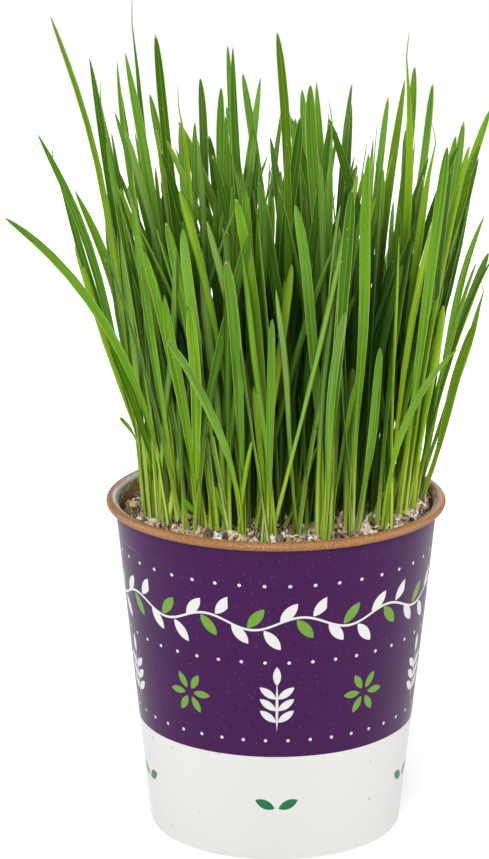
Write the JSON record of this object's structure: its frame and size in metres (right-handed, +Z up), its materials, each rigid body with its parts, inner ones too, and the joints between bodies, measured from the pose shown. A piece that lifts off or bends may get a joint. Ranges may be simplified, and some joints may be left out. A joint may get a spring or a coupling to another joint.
{
  "type": "wheatgrass pot",
  "caption": "Dense stand of wheatgrass growing in a tapered paper pot with a rolled rim, its soil topped with coarse mineral chunks.",
  "frame": {"origin": "on the floor under the pot's axis, in the plane that the pot's foot stands on", "axes": "+Z up along the pot's axis; -Y towards the side with the printed front; +X to the right of that side"},
  "size_m": [0.156, 0.22, 0.275],
  "materials": {
    "printed_board": "satin",
    "kraft_board": "satin",
    "compost": "matte",
    "leaf": "satin",
    "mineral": "matte"
  },
  "bodies": {
    "root": {"cup_wall": "printed_board", "cup_base": "kraft_board", "growing_medium": "compost", "grass_stand": "leaf", "top_dressing": "mineral"}
  },
  "joints": []
}
